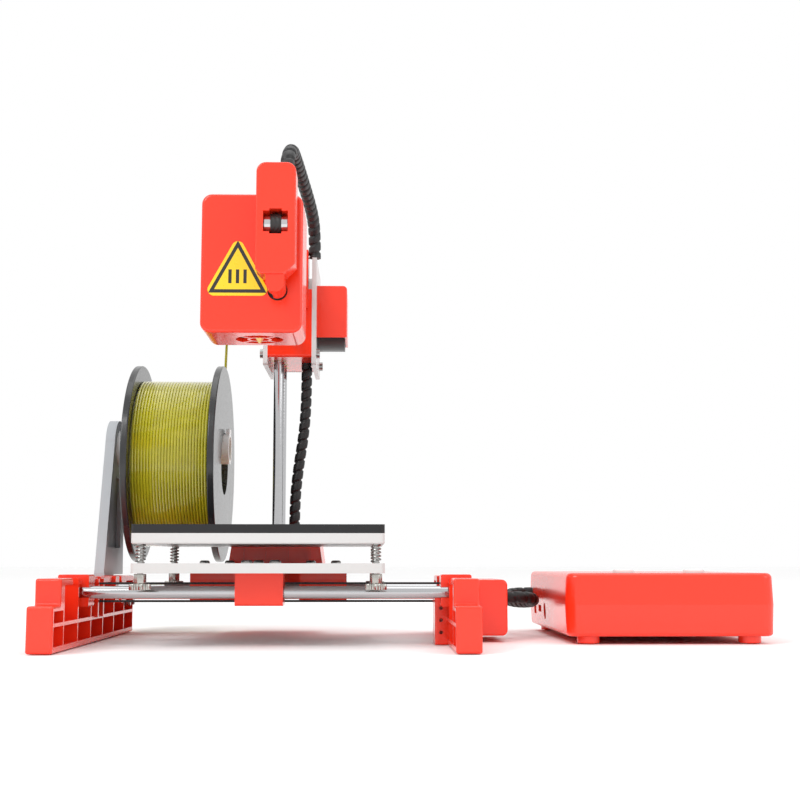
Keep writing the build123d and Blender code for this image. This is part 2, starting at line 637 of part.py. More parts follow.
def end_block():
    """Upright block at the arm's front end, with a plus-shaped window and a slit sleeve for the lower rod."""
    low, high = END_Z
    left, right = END_X
    outline = [(left + 2.5, low), (right - 5, low), (right, low + 5)]
    outline += [(right, high), (left, high), (left, low + 2.5)]
    body = prism_y(outline, END_Y)
    top = body.edges().filter_by(Axis.Y).group_by(Axis.Z)[-1]
    body = fillet(top, 4.5)
    body = fillet(body.faces().sort_by(Axis.Y)[0].edges(), 0.8)
    sleeve = bar("Y", (ARM_X, LOWER_ROD_Z), SLEEVE_R, (END_Y[0] + 1, SLEEVE_END))
    sleeve += span_box(grown((ARM_X, ARM_X), SLEEVE_R), (END_Y[0] + 1, END_Y[1]), (LOWER_ROD_Z, low + 3))
    body += sleeve
    body -= span_box((ARM_X - SLEEVE_R - 1, ARM_X - 1.6), (END_Y[0] + 9, SLEEVE_END + 1), (low - 9, low - 0.6))
    deep = grown(END_Y, 1)
    body -= span_box(grown((ARM_X, ARM_X), 5.8), deep, grown((ARM_BELT_Z, ARM_BELT_Z), 5.0))
    body -= span_box(grown((ARM_X, ARM_X), BELT_W / 2 + 0.4), deep, grown((ARM_BELT_Z, ARM_BELT_Z), 6.0))
    body -= bar("X", (ARM_IDLER_Y, ARM_BELT_Z), PIN_R, (left + 1, right - 1))
    for z in (UPPER_ROD_Z, LOWER_ROD_Z):
        body -= bar("Y", (ARM_X, z), ARM_ROD_R, (END_Y[0] + 2, SLEEVE_END + 1))
    return body


def arm_belt():
    """Belt of the head."""
    across = grown((ARM_X, ARM_X), BELT_W / 2)
    return belt_loop("X", [(ARM_IDLER_Y, ARM_BELT_Z), (ARM_PULLEY_Y, ARM_BELT_Z)], across)


def arm_motor():
    """Flat motor of the head's belt, on the right flange."""
    x = (BLOCK_X[1] + SHEET + 0.4, BLOCK_X[1] + SHEET + 0.4 + ARM_MOTOR_L)
    body = bar("X", (ARM_PULLEY_Y, ARM_BELT_Z - ARM_MOTOR_OFFSET), ARM_MOTOR_R, x)
    return body + bar("X", (ARM_PULLEY_Y, ARM_BELT_Z - ARM_MOTOR_OFFSET), ARM_MOTOR_R - 6, (x[0] - 0.4, x[0]))


def arm_motor_cover():
    """Red cover over the motor, open below and towards the bracket."""
    start = BLOCK_X[1] + SHEET
    wall = 1.2
    centre_z = ARM_BELT_Z - ARM_MOTOR_OFFSET
    x = (start, start + 0.4 + ARM_MOTOR_L + 0.2 + wall)
    y = grown((ARM_PULLEY_Y, ARM_PULLEY_Y), ARM_MOTOR_R + 0.3 + wall)
    z = (centre_z - 12.0, centre_z + ARM_MOTOR_R + 0.3 + wall)
    body = span_box(x, y, z)
    body = fillet(body.edges().filter_by(Axis.Y).group_by(Axis.Z)[-1].sort_by(Axis.X)[-1], 2.5)
    body = fillet(body.faces().sort_by(Axis.Y)[0].edges().group_by(Axis.X)[-1], 0.8)
    cavity = span_box((x[0] - 1, x[1] - wall), grown(y, -wall), (z[0] - 1, z[1] - wall))
    cavity = fillet(cavity.edges().filter_by(Axis.Y).group_by(Axis.Z)[-1].sort_by(Axis.X)[-1], 0.5)
    return body - cavity


def arm_pulley():
    """Pulley of the arm motor with its shaft."""
    at = (ARM_PULLEY_Y, ARM_BELT_Z)
    body = bar("X", at, PULLEY_R, grown((ARM_X, ARM_X), BELT_W / 2 + 0.8))
    return body + bar("X", at, MOTOR_SHAFT_R, (ARM_X, BLOCK_X[1] + SHEET + 0.1))


def arm_idler():
    """Bright roller in the end block's window, grooved for the belt."""
    at = (ARM_IDLER_Y, ARM_BELT_Z)
    body = bar("X", at, PULLEY_R, grown((ARM_X, ARM_X), 5.4))
    for side in (-1, 1):
        near = ARM_X + side * (BELT_W / 2 + 0.3)
        far = ARM_X + side * 5.4
        body += bar("X", at, IDLER_SIDE_R, (min(near, far), max(near, far)))
    return body - bar("X", at, PIN_R + SHAFT_GAP, grown((ARM_X, ARM_X), 8))


# ---------------------------------------------------------------- head
def head_cover():
    """Rounded shell of the head, open below, with rod holes front and back and a filament inlet."""
    body = span_box(HEAD_X, HEAD_Y, HEAD_Z)
    body = fillet(body.edges().filter_by(Axis.Y), HEAD_ROUND)
    body = fillet(body.faces().sort_by(Axis.Y)[0].edges(), 1.6)
    cavity = span_box(grown(HEAD_X, -HEAD_WALL), grown(HEAD_Y, -HEAD_WALL), grown(HEAD_Z, -HEAD_WALL))
    cavity = fillet(cavity.edges().filter_by(Axis.Y), HEAD_ROUND - HEAD_WALL)
    body -= cavity
    base = base_outline()
    body -= span_box(base[0], base[1], (HEAD_Z[0] - 1, HEAD_Z[0] + HEAD_WALL + 1))
    for z in (UPPER_ROD_Z, LOWER_ROD_Z):
        body -= bar("Y", (ARM_X, z), ARM_ROD_R + 1.8, grown(HEAD_Y, 1))
    belt_hole = grown((ARM_BELT_Z, ARM_BELT_Z), 6.4)
    body -= span_box(grown((ARM_X, ARM_X), BELT_W / 2 + 0.8), grown(HEAD_Y, 1), belt_hole)
    inlet = FILAMENT_UPPER[-1]
    body -= bar("Y", (inlet[0], inlet[2]), FILAMENT_R + 0.4, (HEAD_Y[1] - 3, HEAD_Y[1] + 1))
    for z in (178.0, 209.0):
        body -= span_box((HEAD_X[1] - 1.0, HEAD_X[1] + 1), (HEAD_Y[0] + 7, HEAD_Y[0] + 9), grown((z, z), 5))
    louvre_x = (HEAD_X[0] - 1, HEAD_X[0] + HEAD_WALL + 0.3)
    for step in range(-2, 3):
        louvre_y = FAN_Y + 2.8 * step
        body -= span_box(louvre_x, grown((louvre_y, louvre_y), 0.8), grown((FAN_Z, FAN_Z), FAN_R))
    return body


def base_outline():
    """X and Y spans of the opening that the head's base closes."""
    side = HEAD_ROUND + 0.6
    return grown(HEAD_X, -side), grown(HEAD_Y, -HEAD_WALL)


def head_base():
    """Base of the head, with a round mouth, spokes and a ring round the nozzle."""
    spans = base_outline()
    z = (HEAD_Z[0], HEAD_Z[0] + HEAD_WALL)
    at = (NOZZLE_X, NOZZLE_Y)
    body = span_box(spans[0], spans[1], z)
    body -= bar("Z", at, MOUTH_R, grown(z, 1))
    ring = tube("Z", at, 6.0, 4.6, z)
    for turn in range(4):
        spoke = span_box((5.4, MOUTH_R + 0.5), (-0.8, 0.8), z)
        ring += Pos(NOZZLE_X, NOZZLE_Y, 0) * Rot(0, 0, 45 + 90 * turn) * spoke
    return body + ring


def heat_sticker():
    """Triangular sticker on the head's front."""
    middle = sum(STICKER_X) / 2
    foot = STICKER_Z[0]
    outline = [(STICKER_X[0] - 1.6, foot), (STICKER_X[1] + 1.6, foot), (middle, STICKER_Z[1] + 3.4)]
    body = prism_y(outline, (HEAD_Y[0] - STICKER_T, HEAD_Y[0]))
    return fillet(body.edges().filter_by(Axis.Y), 3.0)


def head_carriage():
    """Block inside the head that slides on both rods and grips the belt."""
    x = (ARM_X - 4.8, HEAD_X[1] - HEAD_WALL)
    y = grown(HEAD_Y, -HEAD_WALL)
    body = span_box(x, y, (LOWER_ROD_Z - 6, LOWER_ROD_Z + 6))
    body += span_box((x[0], x[1] - HEAD_ROUND + HEAD_WALL), y, (UPPER_ROD_Z - 4.6, UPPER_ROD_Z + 4.6))
    body += span_box((ARM_X + BELT_W / 2 + 0.6, x[1]), y, (LOWER_ROD_Z, UPPER_ROD_Z))
    for z in (UPPER_ROD_Z, LOWER_ROD_Z):
        body -= bar("Y", (ARM_X, z), ARM_ROD_R + SHAFT_GAP, grown(y, 1))
    return body


def extruder_motor():
    """Small geared motor inside the head, lying along X, on a strap to the carriage."""
    at = (38.0, 172.0)
    body = bar("X", at, 11.5, (NOZZLE_X - 22.5, NOZZLE_X - 5.6))
    return body + span_box((NOZZLE_X - 5.6, ARM_X - 4.8), (27.0, 31.0), (166.0, 175.5))


def hot_end():
    """Finned cooler, heater block and nozzle on one axis."""
    at = (NOZZLE_X, NOZZLE_Y)
    body = bar("Z", at, 2.4, (151.0, 167.5))
    for level in range(4):
        low = 159.2 + 2.2 * level
        body += bar("Z", at, 4.9, (low, low + 1.2))
    body += span_box((NOZZLE_X, ARM_X - 4.8), grown((NOZZLE_Y, NOZZLE_Y), 3.0), (164.6, 167.5))
    body += span_box(grown((NOZZLE_X, NOZZLE_X), 6.0), grown((NOZZLE_Y, NOZZLE_Y), 5.0), (152.2, 157.2))
    tip = Pos(NOZZLE_X, NOZZLE_Y, (NOZZLE_TIP + 152.2) / 2) * Cone(0.6, 3.2, 152.2 - NOZZLE_TIP)
    return body + tip


def drive_gear():
    """Gear that pulls the filament, on the extruder motor's shaft."""
    at = (NOZZLE_Y - FILAMENT_R - 4.1, 173.0)
    body = bar("X", at, 4.0, (NOZZLE_X - 2.5, NOZZLE_X + 2.5))
    return body + bar("X", at, 1.5, (NOZZLE_X - 5.3, NOZZLE_X + 3.4))


def fan_rotor():
    """Cooling fan's rotor inside the head's left wall: a hub with seven blades."""
    x = (HEAD_X[0] + HEAD_WALL + 0.5, HEAD_X[0] + HEAD_WALL + 1.7)
    body = bar("X", (FAN_Y, FAN_Z), 2.4, x)
    for blade in range(7):
        vane = span_box(x, (-0.4, 0.4), (2.0, FAN_R))
        body += Pos(0, FAN_Y, FAN_Z) * Rot(360 / 7 * blade, 0, 0) * vane
    return body


# ---------------------------------------------------------------- spool
def spool():
    """Two flanges on a hollow hub."""
    at = (SPOOL_Y, SPOOL_Z)
    body = bar("X", at, SPOOL_HUB, SPOOL_X)
    for x in ((SPOOL_X[0], SPOOL_X[0] + SPOOL_FLANGE), (SPOOL_X[1] - SPOOL_FLANGE, SPOOL_X[1])):
        disc = bar("X", at, SPOOL_R, x)
        body += fillet(disc.edges().filter_by(GeomType.CIRCLE), 0.8)
    return body - bar("X", at, SPOOL_BORE, grown(SPOOL_X, 1))


def winding():
    """Filament on the spool, as one ring."""
    inside = grown(SPOOL_X, -SPOOL_FLANGE)
    return tube("X", (SPOOL_Y, SPOOL_Z), WIND_R, SPOOL_HUB, inside)


def axle_centre():
    """Y and Z of the axle, which touches the top of the spool's bore."""
    return (SPOOL_Y, SPOOL_Z + SPOOL_BORE - AXLE_R - SLIP)


def spool_arm():
    """Tapered upright bolted to the outside of the left leg, with a shallow recess and a rounded crown."""
    y, z = axle_centre()
    x = ARM_SIDE_X
    low = LEG_HEIGHT + 0.4
    reach = ARM_CROWN_R * 0.98
    outline = [(ARM_FOOT_Y[0], low), (ARM_FOOT_Y[1], low), (y + reach, z + 3), (y - reach, z + 3)]
    face = make_face(Polyline(*[(x[0], py, pz) for py, pz in outline], close=True))
    body = extrude(face, amount=x[1] - x[0], dir=(1, 0, 0))
    body += bar("X", (y, z), ARM_CROWN_R, x)
    body += span_box((x[0], -LEG_OUT), ARM_TAB_Y, (ARM_TAB_Z, low + 1))
    recess = [(ARM_FOOT_Y[0] + 11, low + 16), (ARM_FOOT_Y[1] - 11, low + 16), (y + 9, z - 18), (y - 9, z - 18)]
    hollow = make_face(Polyline(*[(x[1] + 1, py, pz) for py, pz in recess], close=True))
    hollow = extrude(hollow, amount=-3.6, dir=(1, 0, 0))
    body -= hollow
    for bolt_y, bolt_z in arm_bolt_places():
        body -= bar("X", (bolt_y, bolt_z), PIN_R, (x[0] - 1, -LEG_OUT + 1))
    body -= span_box((-LEG_OUT, x[1] + 1), (ARM_FOOT_Y[0] - 1, LEG_LENGTH + 1), (0, low))
    return body


def spool_axle():
    """Hollow axle with a lip that keeps the spool on."""
    y, z = axle_centre()
    x = (ARM_SIDE_X[1], SPOOL_X[1] + 3.2)
    body = bar("X", (y, z), AXLE_R, x)
    body += bar("X", (y, z), AXLE_R + 1.6, (ARM_SIDE_X[1], ARM_SIDE_X[1] + 2))
    body += span_box((x[1] - 2.0, x[1]), grown((y, y), 5.0), (z, z + AXLE_R + 2.4))
    return body - bar("X", (y, z), AXLE_R - AXLE_WALL, (ARM_SIDE_X[1] + 2, x[1] + 1))


def frame_bolts():
    """Bolts of the spool arm with their nuts, and the pin of the bed idler."""
    solids = []
    for bolt_y, bolt_z in arm_bolt_places():
        shank = bar("X", (bolt_y, bolt_z), PIN_R, (ARM_SIDE_X[0], -LEG_OUT + 14))
        head = bar("X", (bolt_y, bolt_z), 2.8, (ARM_SIDE_X[0] - 2.0, ARM_SIDE_X[0]))
        inner = -LEG_OUT + LEG_WALL
        nut = extrude(RegularPolygon(3.2, 6), amount=1.2, both=True)
        solids.append(shank + head + Pos(inner + 1.2, bolt_y, bolt_z) * Rot(0, 90, 0) * nut)
    reach = BELT_W / 2 + 5.4
    solids.append(bar("Y", (BED_IDLER_X, BED_BELT_Z), PIN_R, grown((BED_Y, BED_Y), reach)))
    return group(solids)


# ---------------------------------------------------------------- control box
def box_half(low, high, inset, corner):
    """A drafted half of the box between two heights, widest at the parting line."""
    half_x = (BOX_X[1] - BOX_X[0]) / 2 - inset
    half_y = (BOX_Y[1] - BOX_Y[0]) / 2 - inset
    middle = (sum(BOX_X) / 2, sum(BOX_Y) / 2)
    outline = RectangleRounded(2 * half_x, 2 * half_y, corner)
    body = Pos(*middle, BOX_SPLIT) * extrude(outline, amount=high - low, taper=BOX_DRAFT)
    if low < BOX_SPLIT:
        body = mirror(body, about=Plane.XY.offset(BOX_SPLIT))
    return body


def box_top_shell():
    """Upper shell with key holes, a rounded top edge and the cable notch."""
    body = box_half(BOX_SPLIT, BOX_Z[1], 0, BOX_CORNER)
    body = fillet(body.faces().sort_by(Axis.Z)[-1].edges(), 2.6)
    body -= box_half(BOX_SPLIT, BOX_Z[1] - BOX_WALL, BOX_WALL, BOX_CORNER - BOX_WALL)
    for x in KEY_X.values():
        body -= bar("Z", (x, KEY_Y), KEY_R + SLIP, (BOX_Z[1] - 4, BOX_Z[1] + 1))
    return body - port_room()


def box_bottom_shell():
    """Lower shell with standoffs for the board."""
    body = box_half(BOX_Z[0], BOX_SPLIT, 0, BOX_CORNER)
    body = fillet(body.faces().sort_by(Axis.Z)[0].edges(), 2.0)
    body -= box_half(BOX_Z[0] + BOX_WALL, BOX_SPLIT, BOX_WALL, BOX_CORNER - BOX_WALL)
    for x, y in board_corners():
        body += bar("Z", (x, y), 3.0, (BOX_Z[0] + 1, BOARD_Z))
    return body - port_room()


def port_room():
    """Openings in the left wall: jack, card slot and port."""
    x = (BOX_X[0] - 2, BOX_X[0] + 8)
    room = bar("X", (JACK_Y, JACK_Z), JACK_R, x)
    room += span_box(x, grown((CARD_Y, CARD_Y), 6.2), (12.4, 16.2))
    return room + span_box(x, grown((USB_Y, USB_Y), 5.0), (10.6, 16.6))


def board_corners():
    """Places of the board's standoffs."""
    return [(x, y) for x in (BOX_X[0] + 16, BOX_X[1] - 16) for y in (BOX_Y[0] + 22, BOX_Y[1] - 14)]


def main_board():
    """Control board with its larger chips and the keys' riser."""
    body = span_box((BOX_X[0] + 9, BOX_X[1] - 9), (BOX_Y[0] + 12, BOX_Y[1] - 8), (BOARD_Z, BOARD_Z + BOARD_T))
    middle = sum(BOX_X) / 2
    chips = ((middle, 150.0, 12.0, 1.6), (middle - 22, 118.0, 9.0, 3.0), (middle + 22, 118.0, 9.0, 3.0))
    for x, y, side, height in chips:
        chip_z = (BOARD_Z, BOARD_Z + BOARD_T + height)
        body += span_box(grown((x, x), side / 2), grown((y, y), side / 2), chip_z)
    return body


def board_ports():
    """Round jack, card slot and port, standing on the board behind the left wall."""
    deck = BOARD_Z + BOARD_T
    x = (BOX_X[0] + 3.0, BOX_X[0] + 17)
    jack = span_box(x, grown((JACK_Y, JACK_Y), 5), (deck, JACK_Z + 4.6))
    jack += bar("X", (JACK_Y, JACK_Z), 3.6, (BOX_X[0] + 1.2, x[1]))
    jack -= bar("X", (JACK_Y, JACK_Z), 2.8, (BOX_X[0], BOX_X[0] + 11))
    jack += bar("X", (JACK_Y, JACK_Z), 1.0, (BOX_X[0] + 3.5, BOX_X[0] + 11.5))
    card = span_box(x, grown((CARD_Y, CARD_Y), 6.0), (deck, 16.0))
    card -= span_box((x[0] - 1, x[1] - 3), grown((CARD_Y, CARD_Y), 5.4), (13.0, 14.6))
    port = span_box(x, grown((USB_Y, USB_Y), 4.8), (deck, 16.4))
    port -= span_box((x[0] - 1, x[1] - 3), grown((USB_Y, USB_Y), 4.2), (11.4, 15.8))
    port += span_box((x[0] + 1, x[1] - 3), grown((USB_Y, USB_Y), 3.0), (12.2, 13.4))
    return group([jack, card, port])


def box_feet():
    """Four round feet under the box."""
    solids = []
    for x in (BOX_X[0] + FOOT_INSET + 3, BOX_X[1] - FOOT_INSET - 3):
        for y in (BOX_Y[0] + FOOT_INSET, BOX_Y[1] - FOOT_INSET):
            foot = bar("Z", (x, y), FOOT_R, (0, BOX_Z[0]))
            solids.append(fillet(foot.edges().group_by(Axis.Z)[0], 0.6))
    return group(solids)


def key(x):
    """Press key: a domed cap with a shoulder under the top shell."""
    top = BOX_Z[1]
    cap = bar("Z", (x, KEY_Y), KEY_R, (top - BOX_WALL - 0.8, top + 1.6))
    cap = fillet(cap.edges().group_by(Axis.Z)[-1], 0.7)
    shoulder = (top - BOX_WALL - 1.8, top - BOX_WALL - 0.1)
    stem = bar("Z", (x, KEY_Y), 1.5, (top - 12, shoulder[0]))
    return cap + bar("Z", (x, KEY_Y), KEY_R + 1.2, shoulder) + stem


# ---------------------------------------------------------------- everything
def moving_bed():
    """The nodes that ride on the bed's rods, in the middle of their travel."""
    nodes = {
        "bed_pad": bed_pad(), "upper_plate": upper_plate(), "lower_plate": lower_plate(),
        "levelling_springs": levelling_springs(), "bed_screws": bed_screws(),
        "front_bearing_holder": front_bearing_holder(), "rear_bearing_holder": rear_bearing_holder(),
        "bed_bearings": bed_bearings(), "belt_clamp": belt_clamp(),
    }
    for corner, at in zip(("front_left", "rear_left", "front_right", "rear_right"), bed_corners()):
        nodes["nut_" + corner] = levelling_nut(at)
    return nodes


def build():
    """Every node by name, in the drawing frame."""
    nodes = {
        "left_leg": left_leg(), "right_leg": right_leg(), "bed_rods": bed_rods(),
        "frame_motors": frame_motors(), "motor_housing": motor_housing(), "bed_belt": bed_belt(),
        "column_base": column_base(), "column_rods": column_rods(), "lead_screw": lead_screw(),
        "bed_pulley": bed_pulley(), "bed_idler": bed_idler(), "arm_block": arm_block(),
        "arm_bracket": arm_bracket(), "arm_screws": arm_screws(), "arm_bushes": arm_bushes(),
        "arm_rods": arm_rods(), "end_block": end_block(), "arm_belt": arm_belt(), "arm_motor": arm_motor(),
        "arm_motor_cover": arm_motor_cover(), "arm_pulley": arm_pulley(), "arm_idler": arm_idler(),
        "head_cover": head_cover(), "head_base": head_base(), "heat_sticker": heat_sticker(),
        "head_carriage": head_carriage(), "extruder_motor": extruder_motor(), "hot_end": hot_end(),
        "drive_gear": drive_gear(), "fan_rotor": fan_rotor(), "spool": spool(), "winding": winding(),
        "spool_arm": spool_arm(), "spool_axle": spool_axle(), "frame_bolts": frame_bolts(),
        "box_top_shell": box_top_shell(), "box_bottom_shell": box_bottom_shell(), "main_board": main_board(),
        "board_ports": board_ports(), "box_feet": box_feet(),
    }
    for name, shape in moving_bed().items():
        nodes[name] = Pos(BED_X, 0, 0) * shape
    for name, x in KEY_X.items():
        nodes[name] = key(x)
    nodes["loom_box"] = cord("loom_box", LOOM_BOX, LOOM_D)
    nodes["loom_lower"] = cord("loom_lower", LOOM_LOWER, LOOM_D)
    nodes["loom_upper"] = cord("loom_upper", LOOM_UPPER, HEAD_LOOM_D)
    nodes["filament_lower"] = cord("filament_lower", FILAMENT_LOWER, 2 * FILAMENT_R)
    nodes["filament_upper"] = cord("filament_upper", FILAMENT_UPPER, 2 * FILAMENT_R)
    return nodes


def origin_shift():
    """Moves the table point under the middle of the object to the origin."""
    left = ARM_SIDE_X[0] - 2.0
    back = SPOOL_Y + SPOOL_R
    return (-(left + BOX_X[1]) / 2, -back / 2, 0)


def main():
    """Writes one STEP file per node."""
    os.makedirs("parts", exist_ok=True)
    shift = origin_shift()
    print("shift", shift)
    for name, shape in build().items():
        solids = [Pos(*shift) * solid for solid in shape.solids()]
        node = solids[0] if len(solids) == 1 else Compound(children=solids)
        export_step(node, os.path.join("parts", name + ".step"))


main()
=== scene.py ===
import math

import bmesh
import bpy
from bpy.props import FloatProperty, FloatVectorProperty, IntProperty, PointerProperty
from mathutils import Matrix, Vector


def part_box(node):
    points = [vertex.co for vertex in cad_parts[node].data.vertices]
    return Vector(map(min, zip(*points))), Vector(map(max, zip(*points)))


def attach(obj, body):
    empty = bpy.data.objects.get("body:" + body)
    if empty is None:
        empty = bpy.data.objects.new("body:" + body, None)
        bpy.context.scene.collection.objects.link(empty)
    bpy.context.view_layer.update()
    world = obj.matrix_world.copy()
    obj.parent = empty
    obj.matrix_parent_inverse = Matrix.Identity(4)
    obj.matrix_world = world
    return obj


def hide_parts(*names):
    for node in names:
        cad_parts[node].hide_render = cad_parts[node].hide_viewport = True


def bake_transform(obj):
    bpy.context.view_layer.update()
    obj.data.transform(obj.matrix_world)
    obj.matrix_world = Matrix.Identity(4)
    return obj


bl_info = {
    "name": "Desktop Filament Printer",
    "version": (1, 0, 0),
    "blender": (4, 5, 0),
    "location": "View3D > Sidebar > Printer",
    "description": "Surfaces and small pieces of a small filament printer on its CAD frame",
    "category": "Object",
}

# All lengths are metres, in the frame's own axes: +X along the bed's travel, +Y back, +Z up.
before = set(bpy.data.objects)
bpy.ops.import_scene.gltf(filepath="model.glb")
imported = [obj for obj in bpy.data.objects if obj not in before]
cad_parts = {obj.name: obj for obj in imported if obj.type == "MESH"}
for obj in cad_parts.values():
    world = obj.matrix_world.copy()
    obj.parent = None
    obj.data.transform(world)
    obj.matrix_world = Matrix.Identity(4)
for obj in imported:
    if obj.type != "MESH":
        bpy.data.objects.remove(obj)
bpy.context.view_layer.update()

# The CAD model is laid out from the middle between the legs and from their front; the left leg's
# outer front corner carries a place in that layout into the frame.
HALF_SPAN = 0.102
SHIFT = Vector(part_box("left_leg")[0]) + Vector((HALF_SPAN, 0.0, 0.0))


def place(x, y, z):
    """A point given in millimetres of the CAD layout, in the frame."""
    return Vector((x, y, z)) * 0.001 + SHIFT


def middle(node):
    """Middle of a CAD node's box."""
    low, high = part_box(node)
    return (Vector(low) + Vector(high)) / 2


# ---------------------------------------------------------------- settings
class PrinterColours(bpy.types.PropertyGroup):
    """Colours of the plastics, the paint and the filament"""
    body: FloatVectorProperty(
        name="Body", description="Glossy moulded plastic of the legs, head and control box",
        default=(0.86, 0.034, 0.010), size=3, subtype="COLOR", min=0, max=1)
    plate: FloatVectorProperty(
        name="Plate", description="Painted plates of the bed and the arm",
        default=(0.60, 0.595, 0.585), size=3, subtype="COLOR", min=0, max=1)
    filament: FloatVectorProperty(
        name="Filament", description="Glossy filament on the spool",
        default=(0.46, 0.43, 0.014), size=3, subtype="COLOR", min=0, max=1)
    flange: FloatVectorProperty(
        name="Flange", description="Plastic of the spool",
        default=(0.018, 0.019, 0.020), size=3, subtype="COLOR", min=0, max=1)
    holder: FloatVectorProperty(
        name="Spool holder", description="Plastic of the spool's arm",
        default=(0.42, 0.44, 0.46), size=3, subtype="COLOR", min=0, max=1)
    sticker: FloatVectorProperty(
        name="Sticker", description="Printed film on the head",
        default=(0.86, 0.60, 0.01), size=3, subtype="COLOR", min=0, max=1)


class PrinterSizes(bpy.types.PropertyGroup):
    """Sizes and counts of the small pieces"""
    strand: FloatProperty(
        name="Filament", description="Diameter of the filament", default=0.00175, min=0.0005, unit="LENGTH")
    wraps: IntProperty(
        name="Wraps", description="Turns of filament seen across the spool", default=26, min=4, max=40)
    coil_turns: IntProperty(
        name="Spring turns", description="Turns of a levelling spring", default=5, min=2, max=12)
    wrap_pitch: FloatProperty(
        name="Wrap pitch", description="Pitch of the spiral wrap round the wire bundles",
        default=0.0062, min=0.002, unit="LENGTH")
    knurls: IntProperty(
        name="Knurls", description="Notches round a levelling nut", default=24, min=6, max=60)


# ---------------------------------------------------------------- shader maths
class Wire:
    """A socket of a material's node tree that can be used in sums."""

    def __init__(self, make, socket):
        self.make = make
        self.socket = socket

    def __add__(self, other):
        return self.make.maths("ADD", self, other)

    def __mul__(self, other):
        return self.make.maths("MULTIPLY", self, other)

    def __sub__(self, other):
        return self.make.maths("SUBTRACT", self, other)

    def __rsub__(self, other):
        return self.make.maths("SUBTRACT", other, self)

    def __truediv__(self, other):
        return self.make.maths("DIVIDE", self, other)

    def __gt__(self, other):
        return self.make.maths("GREATER_THAN", self, other)

    def __lt__(self, other):
        return self.make.maths("LESS_THAN", self, other)

    __radd__ = __add__
    __rmul__ = __mul__


class Surface:
    """One material, built from expressions on its wires."""

    def __init__(self, name, **constants):
        self.material = bpy.data.materials.new(name)
        self.material.use_nodes = True
        self.tree = self.material.node_tree
        self.shader = self.tree.nodes["Principled BSDF"]
        for socket, value in constants.items():
            self.shader.inputs[socket.replace("_", " ")].default_value = value
        self.coords = self.node("ShaderNodeTexCoord", {}, {}, "Object")

    def node(self, kind, settings, inputs, output=0):
        """Any node: settings first, then values or links on its sockets."""
        made = self.tree.nodes.new(kind)
        for key, value in settings.items():
            setattr(made, key, value)
        for key, value in inputs.items():
            if isinstance(value, Wire):
                self.tree.links.new(value.socket, made.inputs[key])
            else:
                made.inputs[key].default_value = value
        return Wire(self, made.outputs[output])

    def maths(self, operation, first, second=0.0):
        return self.node("ShaderNodeMath", {"operation": operation}, {0: first, 1: second})

    def noise(self, scale, detail=3.0, rough=0.5, at=None):
        return self.node("ShaderNodeTexNoise", {}, {
            "Vector": at or self.coords, "Scale": scale, "Detail": detail, "Roughness": rough})

    def stretch(self, scale):
        return self.node("ShaderNodeMapping", {}, {"Vector": self.coords, "Scale": scale})

    def axis(self, name):
        return self.node("ShaderNodeSeparateXYZ", {}, {0: self.coords}, name)

    def spread(self, wire, low, high, out_low, out_high):
        return self.node("ShaderNodeMapRange", {}, {
            "Value": wire, "From Min": low, "From Max": high, "To Min": out_low, "To Max": out_high})

    def mix(self, factor, first, second):
        return self.node("ShaderNodeMix", {"data_type": "RGBA"}, {0: factor, 6: first, 7: second}, 2)

    def tint(self, wire, colour, low, high):
        """The colour, darker or lighter by the wire."""
        dark = tuple(channel * low for channel in colour) + (1.0,)
        light = tuple(min(channel * high, 1.0) for channel in colour) + (1.0,)
        return self.mix(wire, dark, light)

    def bump(self, height, distance, strength=1.0):
        return self.node("ShaderNodeBump", {}, {"Height": height, "Distance": distance, "Strength": strength})

    def set(self, **wires):
        for socket, wire in wires.items():
            self.tree.links.new(wire.socket, self.shader.inputs[socket.replace("_", " ")])
        return self.material


def glossy_moulding(name, colour, roughness=0.20):
    """Moulded plastic: a faint flow in the colour, slow waves in the gloss and fine scuffs."""
    make = Surface(name, Coat_Weight=0.15, Coat_Roughness=0.06, IOR=1.5)
    flow = make.noise(18.0, 2.0)
    scuffs = make.noise(900.0, 5.0, 0.65)
    wave = make.noise(60.0, 2.0)
    return make.set(
        Base_Color=make.tint(flow, colour, 0.93, 1.05),
        Roughness=make.spread(scuffs, 0.35, 0.75, roughness - 0.04, roughness + 0.08),
        Normal=make.bump(wave + scuffs * 0.04, 0.00006))


def matt_moulding(name, colour):
    """Plastic with a fine spark-eroded grain."""
    make = Surface(name, IOR=1.46)
    grains = make.noise(2600.0, 3.0, 0.6)
    patch = make.noise(35.0, 2.0)
    return make.set(
        Base_Color=make.tint(patch, colour, 0.9, 1.1),
        Roughness=make.spread(patch, 0.3, 0.7, 0.42, 0.56),
        Normal=make.bump(grains, 0.00003))


def painted_plate(name, colour):
    """Smooth satin paint with an even, very fine orange peel."""
    make = Surface(name, Coat_Weight=0.15, Coat_Roughness=0.12)
    peel = make.noise(700.0, 2.0)
    cloud = make.noise(14.0, 3.0)
    return make.set(
        Base_Color=make.tint(cloud, colour, 0.97, 1.03),
        Roughness=make.spread(cloud, 0.3, 0.7, 0.26, 0.36),
        Normal=make.bump(peel, 0.00002))


def polished_rod(name, across, tone=0.50):
    """Ground steel rod: fine grinding rings round the bar."""
    make = Surface(name, Metallic=1.0)
    scale = [40.0, 40.0, 40.0]
    scale[across] = 2600.0
    rings = make.noise(1.0, 3.0, 0.6, at=make.stretch(tuple(scale)))
    return make.set(
        Base_Color=make.tint(rings, (tone, tone, tone * 1.02), 0.94, 1.04),
        Roughness=make.spread(rings, 0.3, 0.7, 0.06, 0.17),
        Normal=make.bump(rings, 0.00001))


